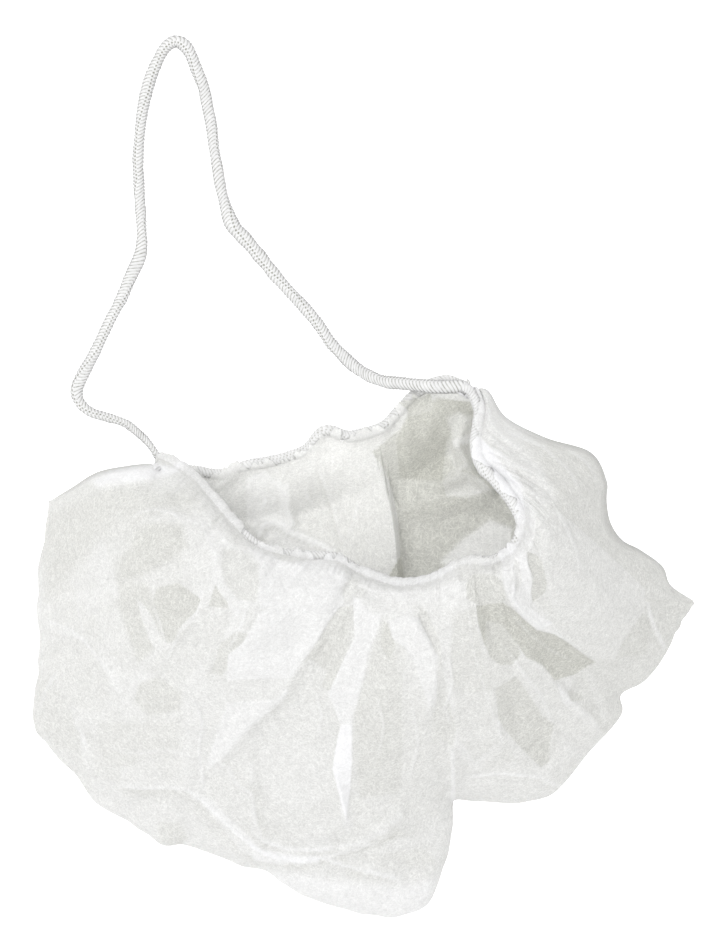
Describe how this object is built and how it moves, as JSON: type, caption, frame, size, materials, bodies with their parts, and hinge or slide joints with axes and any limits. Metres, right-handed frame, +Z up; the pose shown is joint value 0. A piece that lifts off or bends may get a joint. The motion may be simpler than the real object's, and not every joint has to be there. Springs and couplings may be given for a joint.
{
  "type": "disposable beard cover",
  "caption": "Limp white nonwoven pouch lying flat, its gathered mouth edged with knitted elastic that runs on as a loop to go over the head.",
  "frame": {"origin": "on the surface that the cover lies on, under the middle of the box round the pouch and its mouth elastic", "axes": "+X across the pouch from the head loop's side, +Y from the pouch's bottom to its mouth, +Z up from the surface"},
  "size_m": [0.2313, 0.3078, 0.0529],
  "materials": {
    "nonwoven": "matte, thin and slightly see-through",
    "elastic": "matte knit"
  },
  "bodies": {
    "root": {"pouch": "nonwoven", "mouth_elastic": "elastic", "head_loop": "elastic"}
  },
  "joints": []
}
